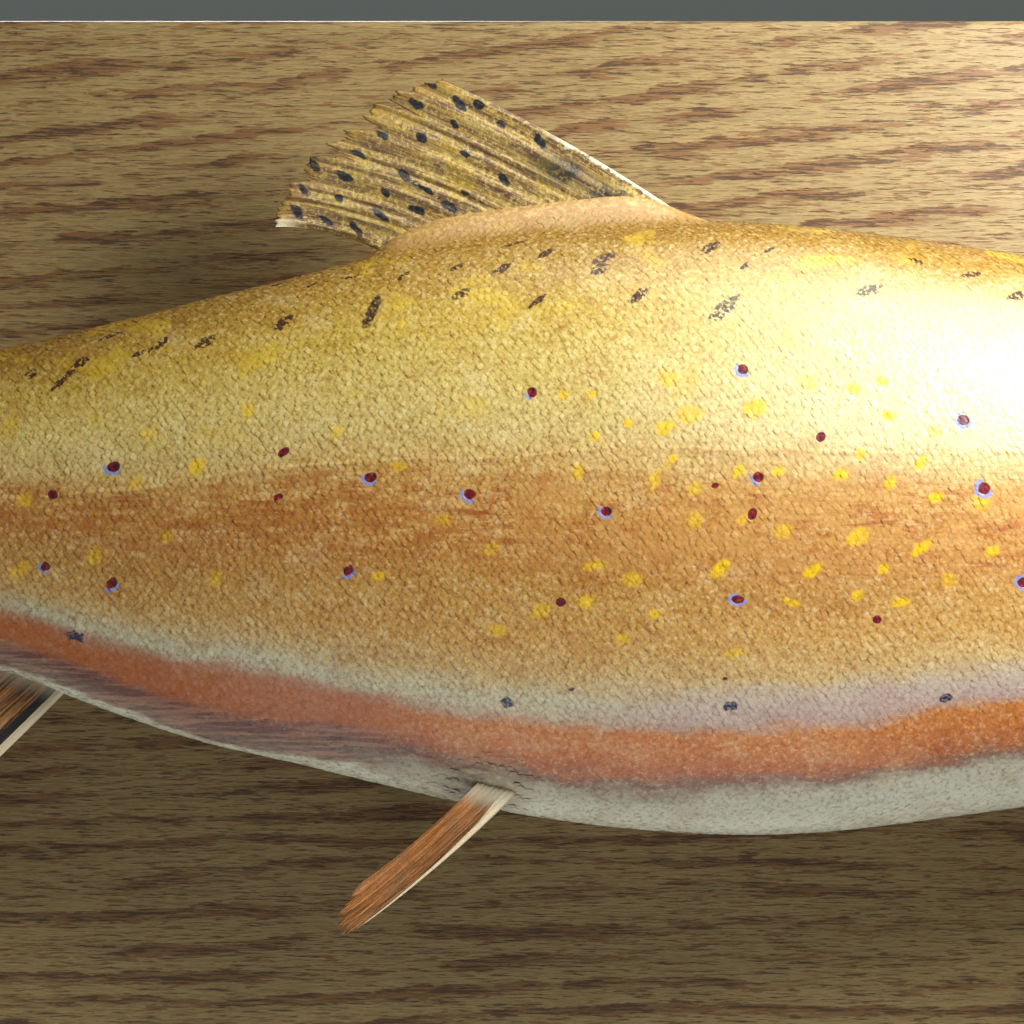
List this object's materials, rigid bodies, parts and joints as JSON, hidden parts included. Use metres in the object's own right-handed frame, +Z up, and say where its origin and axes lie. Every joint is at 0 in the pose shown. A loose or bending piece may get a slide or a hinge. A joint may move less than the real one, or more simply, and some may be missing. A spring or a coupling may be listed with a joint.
{
  "type": "mounted trout",
  "caption": "Mounted brook trout with painted, varnished skin, showing its right side on a plain rectangular oak wall plaque.",
  "frame": {"origin": "centre of the plaque's back face, which lies on the wall", "axes": "+X towards the fish's snout along the plaque, +Y out of the plaque's back into the wall, +Z up"},
  "size_m": [0.6, 0.0959, 0.2],
  "materials": {
    "body_skin": "painted and varnished scaled fish skin, glossy",
    "head_skin": "painted and varnished smooth fish skin, glossy",
    "upper_fin": "dried, painted and varnished fin, ridged by its rays",
    "lower_fin": "dried, painted and varnished fin, ridged by its rays",
    "eye_glass": "polished glass eye, painted behind",
    "plaque_oak": "flat-sawn oak under satin varnish",
    "block_wood": "plain sawn softwood",
    "screw_steel": "plain countersunk wood screw"
  },
  "bodies": {
    "root": {"head": "head_skin", "lower_jaw": "head_skin", "gill_cover_right": "head_skin", "gill_cover_left": "head_skin", "eye_right": "eye_glass", "eye_left": "eye_glass", "trunk": "body_skin", "tail_stalk": "body_skin", "dorsal_fin": "upper_fin", "adipose_fin": "upper_fin", "caudal_fin": "upper_fin", "anal_fin": "lower_fin", "pelvic_fin_right": "lower_fin", "pelvic_fin_left": "lower_fin", "pectoral_fin_right": "lower_fin", "pectoral_fin_left": "lower_fin", "mounting_block": "block_wood", "fixing_screw_1": "screw_steel", "fixing_screw_2": "screw_steel", "plaque": "plaque_oak"}
  },
  "joints": []
}
